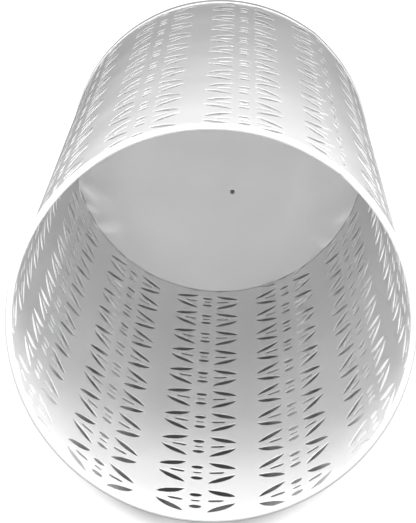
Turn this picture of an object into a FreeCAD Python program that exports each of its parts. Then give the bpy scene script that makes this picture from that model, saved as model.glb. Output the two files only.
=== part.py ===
"""Umbrella stand: a perforated sheet-steel tube with a rolled rim, a pressed base pan and a foot band.

All lengths are in millimetres. The origin is the centre of the footprint on the floor and +Z points up.
Angles around the tube are measured from +Y towards +X.
"""
import FreeCAD, Part
import math
import os

# Driving dimensions
total_height = 490.0
wall_radius = 100.0
sheet = 0.6

# Rim hoop: a split steel tube, slotted underneath to take the top edge of the wall
rim_radius = 1.75
rim_skin = 0.5
rim_offset = 0.2
wall_grip = 0.8

# Foot band: a U-shaped hoop that wraps the bottom edges of the wall and the pan
band_outer_leg = 1.0
band_inner_leg = 0.8
band_web = 0.8
band_outer_height = 9.5
band_inner_height = 7.0
band_corner = 0.4

# Base pan: a pressed disc with a flange that points down inside the wall
pan_height = 10.0
pan_corner = 2.0
drain_radius = 1.5
drain_place = (-9.8, 29.0)

# Perforations: columns of a nine-hole motif, each column punched with its own small lift
first_column = -4
column_lifts = (-2.0, 3.0, 0.0, 2.7, -3.8, -1.5, 5.0, 0.0, -14.6, 14.7, -3.6, -12.2)
column_pitch = 30.75
column_phase = 1.86
row_count = 11
row_pitch = 46.8
top_row_drop = 22.55
leaf_length = 19.8
leaf_width = 6.2
leaf_tilt = 42.5
leaf_across = 13.4
leaf_up = 11.5
dash_length = 8.0
dash_width = 4.0
dash_across = 10.6
dot_radius = 3.2
dot_up = 9.3
centre_length = 4.8
centre_width = 3.2
punch_reach = 3.0
sheet_margin = 1.5

# Lap seam: the outer end of the sheet rides over the inner end and is spot-welded to it
seam_angle = 216.6
lap_width = 8.0
lap_margin = 0.5
joint_gap = 0.5
joint_sink = 0.15
spot_radius = 2.0
spot_rise = 0.2
seam_spots = 9
base_spots = 8
base_spot_height = 4.2
smallest_cut = 0.1
tolerance = 0.01

wall_inner = wall_radius - sheet
rim_middle = total_height - rim_radius
rim_centre = wall_radius + rim_offset
wall_top = rim_middle + wall_grip
flange_inner = wall_inner - sheet
band_inner = flange_inner - band_inner_leg
band_outer = wall_radius + band_outer_leg
lap_radius = wall_radius + sheet
lap_angle = math.degrees(lap_width / wall_radius)
top_row = rim_middle - top_row_drop
axis_z = FreeCAD.Vector(0, 0, 1)
origin = FreeCAD.Vector(0, 0, 0)


def radial(angle, radius, height=0.0):
    """The point at an angle from +Y, a radius and a height."""
    turn = math.radians(angle)
    return FreeCAD.Vector(radius * math.sin(turn), radius * math.cos(turn), height)


def ring(inner, outer, low, high):
    """A plain tube between two radii and two heights."""
    floor = FreeCAD.Vector(0, 0, low)
    outside = Part.makeCylinder(outer, high - low, floor)
    return outside.cut(Part.makeCylinder(inner, high - low, floor))


def wedge(start, end, low, high, reach=2 * wall_radius):
    """A pie slice about the axis, from one angle to another, less than half a turn wide."""
    corners = [FreeCAD.Vector(0, 0, low), radial(start, reach, low), radial(end, reach, low)]
    outline = Part.makePolygon(corners + corners[:1])
    return Part.Face(outline).extrude(axis_z * (high - low))


def sector(inner, outer, low, high, start, end):
    """The part of a tube between two angles."""
    return ring(inner, outer, low, high).common(wedge(start, end, low, high))


def lens(length, width):
    """A flat pointed leaf in the XZ plane, made of two equal arcs."""
    left = FreeCAD.Vector(-length / 2, 0, 0)
    right = FreeCAD.Vector(length / 2, 0, 0)
    above = Part.Arc(left, FreeCAD.Vector(0, 0, width / 2), right).toShape()
    below = Part.Arc(right, FreeCAD.Vector(0, 0, -width / 2), left).toShape()
    return Part.Face(Part.Wire([above, below]))


def oblong(length, width):
    """A flat slot with round ends in the XZ plane."""
    reach = (length - width) / 2
    corners = [FreeCAD.Vector(x, 0, z) for x, z in (
        (-reach, width / 2), (reach, width / 2), (reach, -width / 2), (-reach, -width / 2))]
    right = Part.Arc(corners[1], FreeCAD.Vector(length / 2, 0, 0), corners[2]).toShape()
    left = Part.Arc(corners[3], FreeCAD.Vector(-length / 2, 0, 0), corners[0]).toShape()
    above = Part.makeLine(corners[0], corners[1])
    below = Part.makeLine(corners[2], corners[3])
    return Part.Face(Part.Wire([above, right, below, left]))


def dot(radius):
    """A flat disc in the XZ plane."""
    return Part.Face(Part.Wire(Part.makeCircle(radius, origin, FreeCAD.Vector(0, 1, 0))))


def punch(outline, tilt, angle, across, height):
    """A punch through the wall: the outline turned by tilt, moved round the wall, and driven radially.

    Across is measured along the wall's outside, towards smaller angles. A punch whose middle would miss
    the sheet is left out, so the list it returns is empty then.
    """
    if not band_web + sheet_margin < height < wall_top - sheet_margin:
        return []
    tool = outline.copy()
    tool.rotate(origin, FreeCAD.Vector(0, 1, 0), tilt)
    tool.translate(FreeCAD.Vector(0, wall_radius - punch_reach, height))
    turn = angle - math.degrees(across / wall_radius)
    tool.rotate(origin, axis_z, -turn)
    return [tool.extrude(radial(turn, 2 * punch_reach))]


def wing(angle, height, side):
    """The two leaves and the dash of one half of a motif; side is -1 or 1."""
    leaf = lens(leaf_length, leaf_width)
    dash = oblong(dash_length, dash_width)
    across = side * leaf_across
    upper = punch(leaf, -side * leaf_tilt, angle, across, height + leaf_up)
    lower = punch(leaf, side * leaf_tilt, angle, across, height - leaf_up)
    return upper + lower + punch(dash, 0.0, angle, side * dash_across, height)


def middle(angle, height):
    """The two dots and the short slot between them on a motif's centre line."""
    slot = oblong(centre_length, centre_width)
    upper = punch(dot(dot_radius), 0.0, angle, 0.0, height + dot_up)
    lower = punch(dot(dot_radius), 0.0, angle, 0.0, height - dot_up)
    return upper + lower + punch(slot, 0.0, angle, 0.0, height)


def column_angle(column):
    """The angle of a column's centre line."""
    return column_phase + column_pitch * column


def punches():
    """Every punch in the wall. The last column ends at the seam, so it has no wing beyond it.

    The sheet is cut off through the pattern at its foot, so the lowest row is only part of a motif.
    """
    tools = []
    last = len(column_lifts) - 1
    for place, lift in enumerate(column_lifts):
        angle = column_angle(first_column + place)
        for row in range(row_count):
            height = top_row - row_pitch * row + lift
            tools += middle(angle, height) + wing(angle, height, 1)
            if place < last:
                tools += wing(angle, height, -1)
    return tools


def covered_wing():
    """What shows beyond the seam of the motif that the outer end of the sheet covers."""
    angle = column_angle(first_column - 1) + 360.0
    beyond = wedge(seam_angle, seam_angle + 2 * column_pitch, 0.0, total_height)
    tools = []
    for row in range(row_count):
        height = top_row - row_pitch * row
        tools += [tool.common(beyond) for tool in wing(angle, height, -1)]
    return [tool for tool in tools if tool.Volume > smallest_cut]


def perforated_wall():
    """The rolled sheet with its lap seam and all its holes."""
    tube = ring(wall_inner, wall_radius, band_web, wall_top)
    lap_low = band_outer_height + lap_margin
    lap_high = total_height - 2 * rim_radius - lap_margin
    lap = sector(wall_radius, lap_radius, lap_low, lap_high, seam_angle - lap_angle, seam_angle)
    return tube.fuse(lap).cut(punches() + covered_wing())


def joint_wedge():
    """The narrow gap at the seam where the two ends of a hoop meet."""
    half = math.degrees(joint_gap / 2 / wall_radius)
    return wedge(seam_angle - half, seam_angle + half, 0.0, total_height)


def rim_torus(radius):
    """A solid hoop on the rim's centre line."""
    return Part.makeTorus(rim_centre, radius, FreeCAD.Vector(0, 0, rim_middle))


def wall_slot():
    """The space that the top edge of the wall takes inside the rim."""
    return ring(wall_inner, wall_radius, rim_middle - 2 * rim_radius, wall_top)


def rim_hoop():
    """The split tube that covers the top edge of the wall."""
    tube = rim_torus(rim_radius).cut(rim_torus(rim_radius - rim_skin))
    return tube.cut([wall_slot(), joint_wedge()])


def rim_joint_weld():
    """The weld between the two ends of the rim hoop, dressed a little below its surface."""
    return rim_torus(rim_radius - joint_sink).common(joint_wedge()).cut(wall_slot())


def revolved(points):
    """A solid of revolution about the axis from (radius, height) points."""
    corners = [FreeCAD.Vector(0, radius, height) for radius, height in points]
    return Part.Face(Part.makePolygon(corners + corners[:1])).revolve(origin, axis_z, 360)


def edges_at(shape, radius, height):
    """The circular edges of a revolved shape at a radius and a height."""
    place = FreeCAD.Vector(0, radius, height)
    return [edge for edge in shape.Edges if edge.distToShape(Part.Vertex(place))[0] < tolerance
            and abs(edge.BoundBox.ZLength) < tolerance]


def base_pan():
    """The pressed pan: a disc with a drain hole, a rounded corner and a flange pointing down."""
    under = pan_height - sheet
    pan = revolved([
        (0, under), (0, pan_height), (wall_inner, pan_height),
        (wall_inner, band_web), (flange_inner, band_web), (flange_inner, under),
    ])
    pan = pan.makeFillet(pan_corner, edges_at(pan, wall_inner, pan_height))
    pan = pan.makeFillet(pan_corner - sheet, edges_at(pan, flange_inner, under))
    across, back = drain_place
    return pan.cut(Part.makeCylinder(drain_radius, sheet, FreeCAD.Vector(across, back, under)))


def band_section():
    """The U-shaped section of the foot band, swept all the way round."""
    band = revolved([
        (band_inner, 0), (band_outer, 0), (band_outer, band_outer_height), (wall_radius, band_outer_height),
        (wall_radius, band_web), (flange_inner, band_web), (flange_inner, band_inner_height),
        (band_inner, band_inner_height),
    ])
    for radius, height in ((band_inner, 0), (band_outer, 0), (band_outer, band_outer_height)):
        band = band.makeFillet(band_corner, edges_at(band, radius, height))
    return band


def foot_band():
    """The hoop around the foot, with a gap where its ends meet."""
    return band_section().cut(joint_wedge())


def foot_joint_weld():
    """The weld that fills the foot band's gap."""
    return band_section().common(joint_wedge())


def button(angle, height, low, high):
    """A round spot weld between two radii, whose ends follow the tube's curve."""
    base = radial(angle, low - spot_radius, height)
    blank = Part.makeCylinder(spot_radius, high - low + 2 * spot_radius, base, radial(angle, 1.0))
    return blank.common(ring(low, high, height - 2 * spot_radius, height + 2 * spot_radius))


def seam_spot_welds():
    """One weld on the lap seam in each plain stretch between two rows of holes, above the foot band."""
    angle = seam_angle - lap_angle / 2
    first = top_row + column_lifts[-1] - row_pitch / 2
    heights = [first - row_pitch * place for place in range(seam_spots)]
    return Part.makeCompound([button(angle, height, lap_radius, lap_radius + spot_rise) for height in heights])


def base_spot_welds():
    """The welds on the inner leg of the foot band, which hold the band, pan and wall together."""
    angles = [seam_angle + 360.0 * (place + 0.5) / base_spots for place in range(base_spots)]
    welds = [button(angle, base_spot_height, band_inner - spot_rise, band_inner) for angle in angles]
    return Part.makeCompound(welds)


def main():
    """Write one STEP file for each piece."""
    os.makedirs("parts", exist_ok=True)
    pieces = (
        perforated_wall, seam_spot_welds, rim_hoop, rim_joint_weld,
        base_pan, foot_band, foot_joint_weld, base_spot_welds,
    )
    for piece in pieces:
        shape = piece()
        shape.exportStep(f"parts/{piece.__name__}.step")
        print(piece.__name__, len(shape.Solids), shape.isValid(), round(shape.Volume, 1))


main()
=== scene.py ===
import math

import bpy
import numpy as np
from mathutils import Matrix, Vector, geometry


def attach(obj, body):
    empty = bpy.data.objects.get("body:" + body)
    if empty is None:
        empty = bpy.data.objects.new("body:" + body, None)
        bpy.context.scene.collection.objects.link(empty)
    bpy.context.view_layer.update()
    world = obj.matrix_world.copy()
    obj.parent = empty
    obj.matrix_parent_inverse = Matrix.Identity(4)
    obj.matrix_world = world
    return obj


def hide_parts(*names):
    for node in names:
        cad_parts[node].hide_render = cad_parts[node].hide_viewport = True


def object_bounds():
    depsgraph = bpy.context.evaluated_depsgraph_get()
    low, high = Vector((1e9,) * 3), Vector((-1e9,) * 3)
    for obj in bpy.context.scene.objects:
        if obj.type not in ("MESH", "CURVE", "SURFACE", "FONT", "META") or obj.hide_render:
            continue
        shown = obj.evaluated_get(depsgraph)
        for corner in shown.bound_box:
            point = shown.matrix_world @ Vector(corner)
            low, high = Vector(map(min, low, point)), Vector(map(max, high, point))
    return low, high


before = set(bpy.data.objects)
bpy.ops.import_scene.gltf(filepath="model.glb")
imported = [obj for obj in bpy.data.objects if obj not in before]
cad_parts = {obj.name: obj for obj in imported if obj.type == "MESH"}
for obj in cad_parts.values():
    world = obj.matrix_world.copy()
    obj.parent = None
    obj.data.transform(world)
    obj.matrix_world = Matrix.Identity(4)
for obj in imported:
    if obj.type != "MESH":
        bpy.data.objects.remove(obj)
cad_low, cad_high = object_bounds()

# Sizes in metres, angles in degrees. The wall: a rolled sheet, and the round its paint leaves on an edge
WALL_RADIUS = 0.100
SHEET = 0.0005
PAINT_ROUND = 0.00024
SHEET_IN_RIM = 0.0005
SHEET_FOOT = 0.0012

# The hoops at its rim and foot, and the pan
RIM_RADIUS = 0.00175
RIM_CENTRE = 0.1002
RIM_DIP = 0.0004
RIM_SAG = 0.00012
BAND_OUTER = 0.101
BAND_INNER = 0.098
BAND_OUTER_HEIGHT = 0.0095
BAND_INNER_HEIGHT = 0.007
BAND_WEB = 0.0008
BAND_ROUND = 0.0004
BAND_INNER_ROUNDS = (0.00015, 0.0001, 0.0001, 0.0002, 0.0002)
BAND_DIP = 0.00015
PAN_TOP = 0.010
PAN_CORNER = 0.0009
PAN_SAG = 0.0003
DRAIN_RADIUS = 0.0015
DRAIN_PLACE = (-0.0098, 0.0290)

TOP = cad_high[2]
RIM_HEIGHT = TOP - RIM_RADIUS
SHEET_TOP = RIM_HEIGHT + SHEET_IN_RIM

# The punched pattern: columns of a nine-hole motif, each column with its own small lift
COLUMN_PITCH = 30.75
COLUMN_PHASE = 1.86
FIRST_COLUMN = -4
COLUMN_LIFTS = (-0.0020, 0.0030, 0.0, 0.0027, -0.0038, -0.0015,
                0.0050, 0.0, -0.0146, 0.0147, -0.0036, -0.0122)
ROWS = 11
ROW_PITCH = 0.0468
TOP_ROW = RIM_HEIGHT - 0.02255
LEAF = (0.0198, 0.0062)
LEAF_TILT = math.radians(42.5)
LEAF_PLACE = (0.0134, 0.0115)
DASH = (0.0080, 0.0040)
DASH_ACROSS = 0.0106
DOT_RADIUS = 0.0032
DOT_UP = 0.0093
CENTRE_SLOT = (0.0048, 0.0032)
TIP_START = 0.0175
LEAF_POWER = 1.8
NET_STEPS = (0.0045, 0.0052)
NET_CLEARANCE = 0.0014

# The lap seam, where the ends of the sheet stayed flatter in the rolls, and its spot welds
SEAM_ANGLE = 216.6
LAP_ANGLE = math.degrees(0.008 / WALL_RADIUS)
RAMP_ANGLE = 3.0
PEAK = 0.0006
PEAK_ANGLE = 4.0
SEAM_SPOTS = 9
SPOT_RADIUS = 0.0020
SPOT_RISE = 0.0003

# The studio. A lamp is its place as (azimuth, inclination, distance) from the middle of the rim, size, watts
FLOOR_HALF = 6.0
FLAG_HALF = (0.046, 0.090)
WORLD_STRENGTH = 0.04
FLOOR_LAMP = ((0, 18, 4.0), (0.15, 0.15), 265)
SOFT_BOXES = (
    ("key", (-10, 62, 0.8), (0.3, 0.3), 6.2),
    ("key_high", (-12, 33, 0.68), (0.3, 0.2), 1.45),
    ("fill_right", (60, 32, 0.8), (0.3, 0.3), 3.7),
    ("fill_left", (-60, 32, 0.8), (0.3, 0.3), 2.4),
)
SIDE_FILLS = ((-75, 13), (0, 6), (75, 13), (180, 4))
SIDE_INCLINATION, SIDE_DISTANCE, SIDE_SIZE = 80, 1.6, (0.9, 0.4)
INSIDE_PLACE, INSIDE_WATTS = (0.0, -0.1, 2.4), 54
INSIDE_ANGLE, INSIDE_BLEND, INSIDE_RADIUS = 6.6, 0.6, 0.05
CAMERA_BACK, CAMERA_UP = 0.31166, 1.20093
AIM_ACROSS, AIM_DOWN = 0.00343, 0.14067
CAMERA_ROLL = 0.06355
LENS_MM, SENSOR_MM = 172.71, 36.0
CLIP = (0.05, 50.0)


# ---------------------------------------------------------------- meshes

def facing_out(corners, normals, block):
    """The faces turned so that each one looks the way its corners' normals point."""
    across = corners[block[:, 2]] - corners[block[:, 0]]
    along = corners[block[:, -1]] - corners[block[:, 1]]
    wrong = (np.cross(across, along) * normals[block].sum(1)).sum(1) < 0
    return np.where(wrong[:, None], block[:, ::-1], block)


def make_piece(name, corners, normals, faces, material, slot_name, *stands_for):
    """A finished piece from corner positions, their smooth normals and its faces.

    Corners that fall on one point are made one corner first, so that neighbouring strips are closed.
    """
    corners, normals = np.asarray(corners, float), np.asarray(normals, float)
    faces = [facing_out(corners, normals, block) for block in faces if len(block)]
    keys = np.round(corners * 2e6).astype(np.int64)
    _, first, place = np.unique(keys, axis=0, return_index=True, return_inverse=True)
    place = place.reshape(-1)
    solid_faces = []
    for block in faces:
        merged = (list(dict.fromkeys(face)) for face in place[block].tolist())
        solid_faces += [face for face in merged if len(face) > 2]
    mesh = bpy.data.meshes.new(name)
    mesh.from_pydata(corners[first].tolist(), [], solid_faces)
    mesh.polygons.foreach_set("use_smooth", np.ones(len(mesh.polygons), bool))
    mesh.normals_split_custom_set_from_vertices(normals[first].tolist())
    mesh.materials.append(material)
    piece = bpy.data.objects.new(name, mesh)
    bpy.context.scene.collection.objects.link(piece)
    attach(piece, "root")
    if stands_for:
        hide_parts(*stands_for)
    return piece


class Shell:
    """Corners, normals and faces gathered from several strips and plates."""

    def __init__(self):
        self.corners, self.normals, self.faces, self.count = [], [], [], 0

    def add(self, corners, normals, faces):
        self.corners.append(corners)
        self.normals.append(normals)
        self.faces.append(np.asarray(faces) + self.count)
        self.count += len(corners)

    def piece(self, name, material, slot_name, *stands_for):
        return make_piece(name, np.concatenate(self.corners), np.concatenate(self.normals), self.faces,
                          material, slot_name, *stands_for)


def grid_faces(rows, columns, wrap_rows=False, wrap_columns=False):
    """The four-cornered faces of a grid of corners, stored row by row."""
    r = np.arange(rows if wrap_rows else rows - 1)
    c = np.arange(columns if wrap_columns else columns - 1)
    r, c = (v.reshape(-1) for v in np.meshgrid(r, c, indexing="ij"))
    down, right = (r + 1) % rows, (c + 1) % columns
    return np.stack([r * columns + c, r * columns + right, down * columns + right, down * columns + c], 1)


def rounded_edge(thickness):
    """How far a painted edge stands back and how deep it is, with the direction its surface faces.

    Rows run from the outer face, round a quarter circle, across the edge and round another quarter circle to
    the inner face: (stand-back, depth, share of the normal along the sheet, share through the sheet).
    """
    turn = np.radians([0.0, 30.0, 60.0, 90.0])
    back = PAINT_ROUND * (1 - np.sin(turn))
    deep = PAINT_ROUND * (1 - np.cos(turn))
    outer = np.stack([back, deep, np.sin(turn), np.cos(turn)], 1)
    inner = outer[::-1] * (1, 1, 1, -1)
    inner[:, 1] = thickness - inner[:, 1]
    return np.concatenate([outer, inner])


# ---------------------------------------------------------------- punched plates

def lens_outline(length, width, count=24):
    """A pointed leaf: the half-width follows a power of the sine of the turn, so its tips are narrow."""
    t = np.linspace(0, 2 * np.pi, count, endpoint=False)
    side = np.sin(t)
    return np.stack([length / 2 * np.cos(t), width / 2 * np.sign(side) * np.abs(side) ** LEAF_POWER], 1)


def oblong_outline(length, width, count=16):
    """A short slot with round ends: a circle whose two halves are pulled apart."""
    t = np.linspace(0, 2 * np.pi, count, endpoint=False) + np.pi / count
    ends = np.sign(np.cos(t)) * (length - width) / 2
    return np.stack([ends + width / 2 * np.cos(t), width / 2 * np.sin(t)], 1)


def dot_outline(radius, count=18):
    """A circle."""
    t = np.linspace(0, 2 * np.pi, count, endpoint=False)
    return radius * np.stack([np.cos(t), np.sin(t)], 1)


def turned(outline, tilt, centre):
    """An outline turned by tilt and moved to its centre."""
    c, s = math.cos(tilt), math.sin(tilt)
    return outline @ np.array([[c, s], [-s, c]]) + centre


class Hole:
    """One punched hole in the flat sheet: its outline and the room that it needs."""

    def __init__(self, outline, tilt, centre, reach):
        self.outline = turned(outline, tilt, centre)
        self.tilt, self.centre, self.reach = tilt, np.array(centre), np.array(reach)

    def clip(self, low, high):
        """Stop the outline at the lowest and highest corner it may reach; None if its centre is beyond."""
        if not (low < self.centre).all() or not (self.centre < high).all():
            return None
        self.outline = np.clip(self.outline, low, high)
        return self

    def near(self, points, margin):
        """Which points lie inside the hole or within the margin of it."""
        local = turned(points - self.centre, -self.tilt, (0, 0)) / (self.reach + margin)
        return (local ** 2).sum(1) < 1


def wing(side, height):
    """The two leaves and the dash on one side of a motif; side is -1 or 1 along the turn of the sheet."""
    across, up = LEAF_PLACE
    leaf, dash = lens_outline(*LEAF), oblong_outline(*DASH)
    reach, dash_reach = np.array(LEAF) / 2, np.array(DASH) / 2
    return [
        Hole(leaf, -side * LEAF_TILT, (side * across, height + up), reach),
        Hole(leaf, side * LEAF_TILT, (side * across, height - up), reach),
        Hole(dash, 0.0, (side * DASH_ACROSS, height), dash_reach),
    ]


def middle(height):
    """The two dots and the short slot between them on a motif's centre line."""
    return [
        Hole(dot_outline(DOT_RADIUS), 0.0, (0.0, height + DOT_UP), (DOT_RADIUS, DOT_RADIUS)),
        Hole(oblong_outline(*CENTRE_SLOT), 0.0, (0.0, height), np.array(CENTRE_SLOT) / 2),
        Hole(dot_outline(DOT_RADIUS), 0.0, (0.0, height - DOT_UP), (DOT_RADIUS, DOT_RADIUS)),
    ]


def edge_normals(outline):
    """Unit vectors that point from a closed outline into the metal around it."""
    along = np.roll(outline, -1, 0) - np.roll(outline, 1, 0)
    length = np.maximum(np.linalg.norm(along, axis=1, keepdims=True), 1e-9)
    along = along / length
    return np.stack([along[:, 1], -along[:, 0]], 1)


def triangulate(outer, rings, fill):
    """Triangles of a flat plate: its outer outline, the rings of its holes, and points to fill it with."""
    to_mm, inside_outline, same_point = 1000, 1, 1e-5
    points = np.concatenate([outer] + rings + [fill])
    owner = np.full(len(points), -1)
    edges, start = [], 0
    for number, ring in enumerate([outer] + rings):
        index = start + np.arange(len(ring))
        edges += np.stack([index, np.roll(index, -1)], 1).tolist()
        if number:
            owner[index] = number
        start += len(ring)
    flat = [Vector(point) for point in (points * to_mm).tolist()]
    result = geometry.delaunay_2d_cdt(flat, edges, [], inside_outline, same_point)
    where, triangles, came_from = result[0], np.array(result[2]), result[3]
    owner = np.array([owner[ids[0]] if ids else -1 for ids in came_from])
    spots = np.array([tuple(v) for v in where]) / to_mm
    held = owner[triangles]
    inside_hole = (held[:, 0] > 0) & (held[:, 0] == held[:, 1]) & (held[:, 1] == held[:, 2])
    triangles = triangles[~inside_hole]
    a, b, c = (spots[triangles[:, k]] for k in range(3))
    turn = (b - a)[:, 0] * (c - a)[:, 1] - (b - a)[:, 1] * (c - a)[:, 0]
    triangles[turn < 0] = triangles[turn < 0][:, ::-1]
    return spots, triangles


def punched_plate(shell, outer, holes, fill, place, thickness):
    """Both faces of a punched plate and the rounded edge of every hole.

    place turns flat points and their depth in the sheet into corners and, from shares of a direction along
    the sheet and through it, into normals.
    """
    rings = [hole.outline + edge_normals(hole.outline) * PAINT_ROUND for hole in holes]
    spots, triangles = triangulate(outer, rings, fill)
    still = np.zeros_like(spots)
    for depth, through in ((0.0, 1.0), (thickness, -1.0)):
        corners, normals = place(spots, np.full(len(spots), depth), still, np.full(len(spots), through))
        shell.add(corners, normals, triangles)
    section = rounded_edge(thickness)
    for hole in holes:
        into = edge_normals(hole.outline)
        count = len(into)
        flat = (hole.outline[None] + into[None] * section[:, None, :1]).reshape(-1, 2)
        along = (-into[None] * section[:, None, 2:3]).reshape(-1, 2)
        depth, through = np.repeat(section[:, 1], count), np.repeat(section[:, 3], count)
        corners, normals = place(flat, depth, along, through)
        shell.add(corners, normals, grid_faces(len(section), count, wrap_columns=True))


# ---------------------------------------------------------------- the wall

def from_seam(angles):
    """The signed angle from the seam, between -180 and 180."""
    return (angles - SEAM_ANGLE + 180) % 360 - 180


def seam_peak(angles):
    """How far the tube stands out near the seam, where the ends of the sheet stayed flatter in the rolls."""
    return PEAK * np.exp(-np.abs(from_seam(angles)) / PEAK_ANGLE)


def lap_rise(angle):
    """How far the sheet stands out at an angle: it climbs over its own inner end just before the seam."""
    start = SEAM_ANGLE - LAP_ANGLE - RAMP_ANGLE
    share = np.clip((angle - start) / RAMP_ANGLE, 0, 1)
    return SHEET * share * share * (3 - 2 * share)


def rolled(centre_angle):
    """A place function that rolls flat points into the tube, around one column's centre line."""
    def place(flat, depth, along, through):
        angle = centre_angle + np.degrees(flat[:, 0] / WALL_RADIUS)
        turn = np.radians(angle)
        radius = WALL_RADIUS + lap_rise(angle) + seam_peak(angle) - depth
        out = np.stack([np.sin(turn), np.cos(turn), 0 * turn], 1)
        round_wall = np.stack([np.cos(turn), -np.sin(turn), 0 * turn], 1)
        corners = out * radius[:, None] + np.stack([0 * turn, 0 * turn, flat[:, 1]], 1)
        normals = out * through[:, None] + round_wall * along[:, :1]
        normals[:, 2] += along[:, 1]
        return corners, normals
    return place


def border(low, high):
    """The outline of a column of sheet, and the points of a regular net inside it."""
    across = np.linspace(low[0], high[0], max(2, round((high[0] - low[0]) / NET_STEPS[0])) + 1)
    up = np.linspace(low[1], high[1], round((high[1] - low[1]) / NET_STEPS[1]) + 1)
    foot = np.stack([across, np.full_like(across, low[1])], 1)[:-1]
    right = np.stack([np.full_like(up, high[0]), up], 1)[:-1]
    head = np.stack([across[::-1], np.full_like(across, high[1])], 1)[:-1]
    left = np.stack([np.full_like(up, low[0]), up[::-1]], 1)[:-1]
    net = np.stack([v.reshape(-1) for v in np.meshgrid(across[1:-1], up[1:-1])], 1)
    return np.concatenate([foot, right, head, left]), net


def sheet_column(shell, centre_angle, low, high, holes, free_left=False, free_right=False):
    """One column of the sheet with its holes, and the edges at its head, foot and free sides."""
    margin = PAINT_ROUND * 2
    limits = np.array(low) + margin, np.array(high) - margin
    holes = [hole for hole in (h.clip(*limits) for h in holes) if hole is not None]
    outer, net = border(low, high)
    clear = np.ones(len(net), bool)
    for hole in holes:
        clear &= ~hole.near(net, NET_CLEARANCE)
    place = rolled(centre_angle)
    punched_plate(shell, outer, holes, net[clear], place, SHEET)
    across = np.unique(outer[:, 0])
    up = np.unique(outer[:, 1])
    ends = (
        (np.stack([across, np.full_like(across, low[1])], 1), (0, -1), True),
        (np.stack([across, np.full_like(across, high[1])], 1)[::-1], (0, 1), True),
        (np.stack([np.full_like(up, high[0]), up], 1), (1, 0), free_right),
        (np.stack([np.full_like(up, low[0]), up], 1)[::-1], (-1, 0), free_left),
    )
    for line, facing, wanted in ends:
        if wanted:
            free_edge(shell, line, np.array(facing, float), place)


def free_edge(shell, line, facing, place):
    """The painted edge along a straight side of the sheet, bulging a little beyond it."""
    section = rounded_edge(SHEET)
    count = len(line)
    flat = (line[None] + facing * (PAINT_ROUND - section[:, None, :1])).reshape(-1, 2)
    along = np.repeat(facing[None] * section[:, 2:3], count, 0)
    corners, normals = place(flat, np.repeat(section[:, 1], count), along, np.repeat(section[:, 3], count))
    shell.add(corners, normals, grid_faces(len(section), count))


def column_holes(lift, sides):
    """All the holes of a column, from the rim down."""
    holes = []
    for row in range(ROWS):
        height = TOP_ROW - ROW_PITCH * row + lift
        holes += middle(height)
        for side in sides:
            holes += wing(side, height)
    return holes


def covered_tips():
    """Beyond the seam: tips of the covered column's leaves, and the rest of the last column's dots."""
    centre = COLUMN_PITCH * (FIRST_COLUMN - 1)
    last = COLUMN_PITCH * (FIRST_COLUMN + len(COLUMN_LIFTS) - 1) - 360.0
    shift = math.radians(last - centre) * WALL_RADIUS
    holes = []
    for row in range(ROWS):
        height = TOP_ROW - ROW_PITCH * row
        for hole in wing(1, height)[:2]:
            hole.outline[:, 0] = np.maximum(hole.outline[:, 0], TIP_START)
            hole.centre = hole.outline.mean(0)
            holes.append(hole)
        for hole in middle(height + COLUMN_LIFTS[-1]):
            hole.outline[:, 0] += shift
            hole.centre[0] += shift
            holes.append(hole)
    return holes


def wall_sheet(material):
    """The rolled, lapped and punched sheet, as three pieces that meet edge to edge."""
    half = math.radians(COLUMN_PITCH / 2) * WALL_RADIUS
    pieces = {"wall_sheet_right": (0, 4), "wall_sheet_back": (4, 8), "wall_sheet_left": (8, 12)}
    for name, (first, beyond) in pieces.items():
        shell = Shell()
        for column in range(first, beyond):
            angle = COLUMN_PHASE + COLUMN_PITCH * (FIRST_COLUMN + column)
            last = column == len(COLUMN_LIFTS) - 1
            high = math.radians(SEAM_ANGLE - angle) * WALL_RADIUS - PAINT_ROUND if last else half
            holes = column_holes(COLUMN_LIFTS[column], (-1,) if last else (-1, 1))
            sheet_column(shell, angle, (-half, SHEET_FOOT), (high, SHEET_TOP), holes,
                         free_left=column == first and first > 0, free_right=column == beyond - 1)
        if first == 0:
            angle = COLUMN_PHASE + COLUMN_PITCH * (FIRST_COLUMN - 1)
            low = math.radians(SEAM_ANGLE - LAP_ANGLE - 360.0 - angle) * WALL_RADIUS
            sheet_column(shell, angle, (low, SHEET_FOOT), (half, SHEET_TOP), covered_tips(), free_left=True)
        shell.piece(name, material, "white_powder_coat", "perforated_wall")


def seam_welds(material):
    """Spot welds on the lap, one between two rows: flattened balls sunk by half into the outer sheet."""
    shell = Shell()
    place = rolled(SEAM_ANGLE - LAP_ANGLE / 2)
    steps, count = 9, 24
    lean = np.repeat(np.linspace(-np.pi / 2, np.pi / 2, steps), count)
    turn = np.tile(np.linspace(0, 2 * np.pi, count, endpoint=False), steps)
    ring = np.stack([np.cos(turn), np.sin(turn)], 1) * np.cos(lean)[:, None]
    through = np.sin(lean)
    along = ring * SPOT_RISE / SPOT_RADIUS
    length = np.hypot(np.linalg.norm(along, axis=1), through)
    first = TOP_ROW + COLUMN_LIFTS[-1] - ROW_PITCH / 2
    for spot in range(SEAM_SPOTS):
        flat = ring * SPOT_RADIUS + (0, first - ROW_PITCH * spot)
        corners, normals = place(flat, -SPOT_RISE * through, along / length[:, None], through / length)
        shell.add(corners, normals, grid_faces(steps, count, wrap_columns=True))
    shell.piece("seam_spot_welds_painted", material, "coated_weld", "seam_spot_welds")


# ---------------------------------------------------------------- hoops and pan

def around(count=480, fine=41, width=1.2):
    """Angles once round the tube, closer together near the seam."""
    even = np.linspace(0, 360, count, endpoint=False)
    even = even[np.abs(from_seam(even)) > width]
    near = SEAM_ANGLE + np.linspace(-width, width, fine)
    return np.sort(np.concatenate([even, near]))


def joint_dip(angles, depth, half_width=0.22):
    """A shallow groove where the two ends of a hoop are welded together."""
    return depth * np.exp(-(from_seam(angles) / half_width) ** 2)


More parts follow.
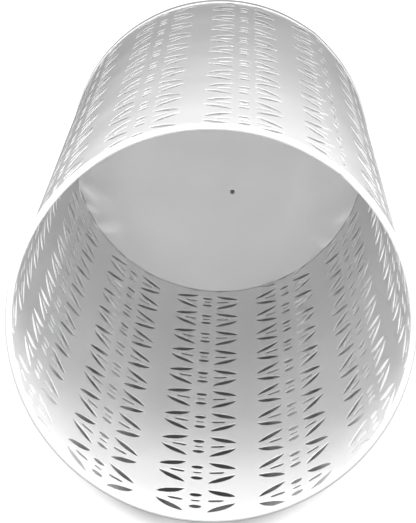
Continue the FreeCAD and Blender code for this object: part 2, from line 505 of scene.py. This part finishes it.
def sweep_section(name, section, facing, angles, grow, lift, material, slot_name, *stands_for):
    """A closed section carried once round the axis.

    section holds (radius, height) points, facing their outward directions. At each angle the section moves
    out by the first of grow, every point sinks against its facing by the second, and all moves up by lift.
    """
    turn = np.radians(angles)[:, None]
    out, sink = grow
    radius = section[None, :, 0] + out[:, None] - facing[None, :, 0] * sink[:, None]
    height = section[None, :, 1] + lift[:, None] - facing[None, :, 1] * sink[:, None]
    corners = np.stack([radius * np.sin(turn), radius * np.cos(turn), height], -1)
    normals = np.stack([facing[:, 0] * np.sin(turn), facing[:, 0] * np.cos(turn),
                        np.broadcast_to(facing[:, 1], radius.shape)], -1)
    faces = grid_faces(len(angles), len(section), wrap_rows=True, wrap_columns=True)
    return make_piece(name, corners.reshape(-1, 3), normals.reshape(-1, 3), [faces],
                      material, slot_name, *stands_for)


def rim_hoop(material):
    """The round rim: a circle carried round the top edge, with a groove where its ends meet.

    Its radius wanders by two slow sine waves, and five low places sag by up to twice RIM_SAG.
    """
    angles = around()
    turn = np.radians(angles)
    ring = np.linspace(0, 2 * np.pi, 28, endpoint=False)
    facing = np.stack([np.cos(ring), np.sin(ring)], 1)
    section = facing * RIM_RADIUS + (RIM_CENTRE, RIM_HEIGHT)
    wander = 0.00006 * np.sin(3 * turn + 0.8) + 0.00004 * np.sin(7 * turn + 2.0)
    grow = seam_peak(angles) + wander, joint_dip(angles, RIM_DIP)
    lift = -RIM_SAG * (1 - np.cos(5 * turn + 1.0))
    sweep_section("rim_hoop_painted", section, facing, angles, grow, lift,
                  material, "white_powder_coat", "rim_hoop", "rim_joint_weld")


def rounded_loop(points, radii, steps=5):
    """A closed section through corner points, each corner replaced by an arc of its own radius.

    Returns the points and their outward directions; points run anticlockwise.
    """
    points = np.array(points, float)
    spots, facing = [], []
    for i, (corner, radius) in enumerate(zip(points, radii)):
        before = points[i - 1] - corner
        after = points[(i + 1) % len(points)] - corner
        before /= np.linalg.norm(before)
        after /= np.linalg.norm(after)
        convex = np.sign(before[1] * after[0] - before[0] * after[1])
        centre = corner + (before + after) * radius
        start, end = -after * convex, -before * convex
        share = np.linspace(0, np.pi / 2, steps)[:, None]
        direction = start * np.cos(share) + end * np.sin(share)
        spots.append(centre + direction * radius * convex)
        facing.append(direction)
    return np.concatenate(spots), np.concatenate(facing)


def foot_band(material):
    """The U-shaped hoop round the foot, swept round the axis."""
    inner_leg = BAND_INNER + BAND_WEB
    points = [
        (BAND_INNER, 0), (BAND_OUTER, 0), (BAND_OUTER, BAND_OUTER_HEIGHT), (WALL_RADIUS, BAND_OUTER_HEIGHT),
        (WALL_RADIUS, BAND_WEB), (inner_leg, BAND_WEB), (inner_leg, BAND_INNER_HEIGHT),
        (BAND_INNER, BAND_INNER_HEIGHT),
    ]
    section, facing = rounded_loop(points, (BAND_ROUND,) * 3 + BAND_INNER_ROUNDS)
    angles = around()
    wander = 0.00004 * np.sin(4 * np.radians(angles) + 0.5)
    grow = seam_peak(angles) + wander, joint_dip(angles, BAND_DIP)
    sweep_section("foot_band_painted", section, facing, angles, grow, np.zeros(len(angles)),
                  material, "white_powder_coat", "foot_band", "foot_joint_weld")


def pan_height(flat):
    """The disc of the pan sags towards its middle, as one less the square of the distance."""
    distance = np.linalg.norm(flat, axis=1) / (WALL_RADIUS - SHEET - PAN_CORNER)
    return PAN_TOP - PAN_SAG * np.clip(1 - distance ** 2, 0, 1)


def on_pan(flat, depth, along, through):
    """A place function for the disc of the pan."""
    corners = np.stack([flat[:, 0], flat[:, 1], pan_height(flat) - depth], 1)
    normals = np.stack([along[:, 0], along[:, 1], through], 1)
    return corners, normals


def base_pan(material):
    """The pressed pan: a punched disc, a rounded corner and a flange that points down inside the wall."""
    net_step, edge_clearance, drain_clearance = 0.0055, 0.002, 0.0015
    shell = Shell()
    outside = WALL_RADIUS - SHEET
    flat_radius = outside - PAN_CORNER
    turn = np.linspace(0, 2 * np.pi, 240, endpoint=False)
    outline = flat_radius * np.stack([np.cos(turn), np.sin(turn)], 1)
    drain = Hole(dot_outline(DRAIN_RADIUS, 28), 0.0, DRAIN_PLACE, (DRAIN_RADIUS, DRAIN_RADIUS))
    line = np.arange(-flat_radius, flat_radius, net_step)
    net = np.stack([v.reshape(-1) for v in np.meshgrid(line, line)], 1)
    inside = np.linalg.norm(net, axis=1) < flat_radius - edge_clearance
    net = net[inside & ~drain.near(net, drain_clearance)]
    punched_plate(shell, outline, [drain], net, on_pan, SHEET)
    bend = np.radians(np.linspace(90, 0, 9))
    centre = np.array([flat_radius, PAN_TOP - PAN_CORNER])
    facing = np.stack([np.cos(bend), np.sin(bend)], 1)
    outer = centre + facing * PAN_CORNER
    inner = centre + facing * (PAN_CORNER - SHEET)
    foot = np.array([[outside, BAND_WEB], [outside - SHEET, BAND_WEB]])
    section = np.concatenate([outer, foot, inner[::-1]])
    directions = np.concatenate([facing, [[1, 0], [-1, 0]], -facing[::-1]])
    spin = turn[:, None]
    corners = np.stack([section[:, 0] * np.cos(spin), section[:, 0] * np.sin(spin),
                        np.broadcast_to(section[:, 1], (len(turn), len(section)))], -1)
    normals = np.stack([directions[:, 0] * np.cos(spin), directions[:, 0] * np.sin(spin),
                        np.broadcast_to(directions[:, 1], (len(turn), len(section)))], -1)
    faces = grid_faces(len(turn), len(section), wrap_rows=True)
    shell.add(corners.reshape(-1, 3), normals.reshape(-1, 3), faces)
    shell.piece("base_pan_painted", material, "pan_powder_coat", "base_pan")


# ---------------------------------------------------------------- finishes

class Value:
    """A shader socket that takes part in arithmetic."""

    def __init__(self, finish, socket):
        self.finish, self.socket = finish, socket

    def _math(self, operation, a, b):
        return self.finish.node("ShaderNodeMath", {"operation": operation}, {0: a, 1: b})

    def __add__(self, other):
        return self._math("ADD", self, other)

    def __mul__(self, other):
        return self._math("MULTIPLY", self, other)

    __radd__, __rmul__ = __add__, __mul__


class Finish:
    """A material under construction: one method adds any node."""

    def __init__(self, name):
        self.material = bpy.data.materials.new(name)
        self.material.use_nodes = True
        self.tree = self.material.node_tree
        self.surface = self.tree.nodes["Principled BSDF"]

    def node(self, kind, settings=None, inputs=None, output=0):
        made = self.tree.nodes.new(kind)
        for key, setting in (settings or {}).items():
            setattr(made, key, setting)
        for key, value in (inputs or {}).items():
            self.feed(made.inputs[key], value)
        return Value(self, made.outputs[output])

    def feed(self, socket, value):
        if isinstance(value, Value):
            self.tree.links.new(value.socket, socket)
        else:
            socket.default_value = value

    def set(self, **values):
        for key, value in values.items():
            self.feed(self.surface.inputs[key.replace("_", " ")], value)

    def place(self):
        return self.node("ShaderNodeTexCoord", output="Object")

    def noise(self, place, scale, detail=2.0, roughness=0.5):
        return self.node("ShaderNodeTexNoise", {}, {"Vector": place, "Scale": scale, "Detail": detail,
                                                     "Roughness": roughness}, output="Fac")

    def spread(self, value, low, high, to_low=0.0, to_high=1.0):
        return self.node("ShaderNodeMapRange", {"clamp": True}, {
            "Value": value, "From Min": low, "From Max": high, "To Min": to_low, "To Max": to_high})

    def blend(self, share, first, second):
        return self.node("ShaderNodeMix", {"data_type": "RGBA"}, {0: share, 6: first, 7: second}, output=2)


def grey(level, warmth=0.0):
    """A near-neutral colour."""
    return (level * (1 + warmth), level, level * (1 - warmth), 1.0)


def powder_coat(name, level, roughness, peel, cloud, specks):
    """Baked powder coat: fine orange peel, slow drifts of shade and gloss, and a few caught specks."""
    finish = Finish(name)
    place = finish.place()
    drift = finish.noise(place, scale=16.0, detail=3.0)
    fine = finish.noise(place, scale=1500.0, detail=3.0, roughness=0.6)
    peel_waves = finish.noise(place, scale=620.0, detail=1.0)
    dust = finish.node("ShaderNodeTexVoronoi", {"feature": "F1"}, {"Vector": place, "Scale": 70.0},
                       output="Distance")
    here_and_there = finish.spread(finish.noise(place, scale=40.0), 0.60, 0.64)
    speck = finish.spread(dust, 0.010, 0.045, to_low=1.0, to_high=0.0) * here_and_there
    shade = finish.spread(drift, 0.30, 0.70, to_low=-cloud, to_high=cloud) + 0.5
    colour = finish.blend(shade, grey(level * 0.955), grey(level * 1.03))
    colour = finish.blend(speck * specks, colour, grey(level * 0.35, warmth=0.05))
    gloss = finish.spread(drift, 0.3, 0.7, to_low=-0.05, to_high=0.06)
    bump = {"Strength": peel, "Distance": 0.00006, "Height": peel_waves + fine * 0.35}
    finish.set(Base_Color=colour, Roughness=roughness + gloss + fine * 0.05,
               Normal=finish.node("ShaderNodeBump", {}, bump, output="Normal"), IOR=1.5)
    return finish.material


def weld_coat(name, level):
    """Powder coat over a dressed weld: rougher, with the grinder's marks showing through."""
    finish = Finish(name)
    place = finish.place()
    marks = finish.noise(place, scale=900.0, detail=4.0, roughness=0.7)
    bump = {"Strength": 0.5, "Distance": 0.0001, "Height": marks}
    finish.set(Base_Color=finish.blend(marks, grey(level * 0.93), grey(level)), Roughness=marks * 0.25 + 0.3,
               Normal=finish.node("ShaderNodeBump", {}, bump, output="Normal"))
    return finish.material


def floor_paint():
    """A plain pale floor."""
    finish = Finish("studio_floor")
    shade = finish.noise(finish.place(), scale=3.0)
    finish.set(Base_Color=finish.blend(shade, grey(0.88), grey(0.90)), Roughness=0.75)
    return finish.material


def repaint(node, material):
    """Give a node that keeps its CAD shape its finish."""
    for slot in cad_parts[node].material_slots:
        slot.material = material


# ---------------------------------------------------------------- studio

def level_card(name, half_x, half_y, height):
    """A level rectangle round the axis that belongs to the studio."""
    mesh = bpy.data.meshes.new(name)
    mesh.from_pydata([(-half_x, -half_y, height), (half_x, -half_y, height), (half_x, half_y, height),
                      (-half_x, half_y, height)], [], [(0, 1, 2, 3)])
    card = bpy.data.objects.new(name, mesh)
    bpy.context.scene.collection.objects.link(card)
    return card


def studio_floor():
    """A wide flat floor that runs out of view, and gives no light back to the stand."""
    floor = level_card("studio_floor", FLOOR_HALF, FLOOR_HALF, 0)
    floor.data.materials.append(floor_paint())
    floor.visible_diffuse = floor.visible_glossy = False
    return floor


def studio_flag():
    """An unseen card across the mouth that holds back the floor's lamp alone, so the slots look on shade."""
    flag = level_card("studio_flag", *FLAG_HALF, TOP)
    flag.visible_camera = flag.visible_diffuse = flag.visible_glossy = flag.visible_transmission = False
    return flag


def linked(name, thing, state):
    """A light-linking set that holds one thing, taken in ("INCLUDE") or left out ("EXCLUDE")."""
    group = bpy.data.collections.new(name)
    group.objects.link(thing)
    group.collection_objects[0].light_linking.link_state = state
    return group


def place_light(name, lamp, centre, aim, power, stage, state):
    """Hang a lamp at a point, looking at another, for the floor only or for all but the floor."""
    floor, flag = stage
    lamp.energy = power
    holder = bpy.data.objects.new(name, lamp)
    holder.location = centre
    holder.rotation_mode = "QUATERNION"
    holder.rotation_quaternion = (Vector(centre) - Vector(aim)).to_track_quat("Z", "Y")
    holder.visible_camera = False
    bpy.context.scene.collection.objects.link(holder)
    holder.light_linking.receiver_collection = linked(name + "_reach", floor, state)
    if state == "EXCLUDE":
        holder.light_linking.blocker_collection = linked(name + "_blockers", flag, state)


def soft_box(name, spot, size, power, stage, state="EXCLUDE"):
    """A rectangular soft box that looks at the upper part of the stand."""
    lamp = bpy.data.lights.new(name, "AREA")
    lamp.shape = "RECTANGLE"
    lamp.size, lamp.size_y = size
    place_light(name, lamp, above_rim(*spot), (0, 0, 0.8 * TOP), power, stage, state)


def above_rim(azimuth, inclination, distance):
    """A place seen from the middle of the rim; azimuth runs from the front towards +X."""
    turn, lean = math.radians(azimuth), math.radians(inclination)
    flat = distance * math.sin(lean)
    return flat * math.sin(turn), -flat * math.cos(turn), TOP + distance * math.cos(lean)


def studio_lights(stage):
    """Soft boxes close above the front, fills at the sides, a lamp into the mouth and one for the floor."""
    world = bpy.data.worlds.new("studio")
    world.use_nodes = True
    world.node_tree.nodes["Background"].inputs["Color"].default_value = (1.0, 1.0, 1.0, 1.0)
    world.node_tree.nodes["Background"].inputs["Strength"].default_value = WORLD_STRENGTH
    bpy.context.scene.world = world
    soft_box("floor_light", *FLOOR_LAMP, stage, "INCLUDE")
    for name, spot, size, watts in SOFT_BOXES:
        soft_box(name, spot, size, watts, stage)
    for azimuth, watts in SIDE_FILLS:
        soft_box("side_fill", (azimuth, SIDE_INCLINATION, SIDE_DISTANCE), SIDE_SIZE, watts, stage)
    inside = bpy.data.lights.new("inside", "SPOT")
    inside.spot_size, inside.spot_blend = math.radians(INSIDE_ANGLE), INSIDE_BLEND
    inside.shadow_soft_size = INSIDE_RADIUS
    place_light("inside", inside, INSIDE_PLACE, (0, 0, TOP / 2), INSIDE_WATTS, stage, "EXCLUDE")


def camera():
    """A long lens high above the front of the stand, looking down into it, with the front uppermost."""
    position = np.array([0.0, -CAMERA_BACK, RIM_HEIGHT + CAMERA_UP])
    target = np.array([AIM_ACROSS, 0.0, RIM_HEIGHT - AIM_DOWN])
    forward = (target - position) / np.linalg.norm(target - position)
    right = np.cross(forward, (0, 0, -1.0))
    right /= np.linalg.norm(right)
    up = np.cross(right, forward)
    turned_right = math.cos(CAMERA_ROLL) * right + math.sin(CAMERA_ROLL) * up
    turned_up = math.cos(CAMERA_ROLL) * up - math.sin(CAMERA_ROLL) * right
    data = bpy.data.cameras.new("camera")
    data.lens, data.sensor_width = LENS_MM, SENSOR_MM
    data.clip_start, data.clip_end = CLIP
    holder = bpy.data.objects.new("camera", data)
    holder.matrix_world = Matrix((
        (turned_right[0], turned_up[0], -forward[0], position[0]),
        (turned_right[1], turned_up[1], -forward[1], position[1]),
        (turned_right[2], turned_up[2], -forward[2], position[2]),
        (0, 0, 0, 1)))
    bpy.context.scene.collection.objects.link(holder)
    bpy.context.scene.camera = holder


def main():
    """Paint and place every piece, then light the scene."""
    coat = powder_coat("white_powder_coat", level=0.70, roughness=0.34, peel=0.35, cloud=0.35, specks=0.3)
    pan_coat = powder_coat("pan_powder_coat", level=0.66, roughness=0.42, peel=0.45, cloud=0.5, specks=0.8)
    weld = weld_coat("coated_weld", level=0.69)
    wall_sheet(coat)
    rim_hoop(coat)
    foot_band(coat)
    base_pan(pan_coat)
    seam_welds(weld)
    repaint("base_spot_welds", weld)
    studio_lights((studio_floor(), studio_flag()))
    camera()
    bpy.context.scene.view_settings.view_transform = "Standard"


main()
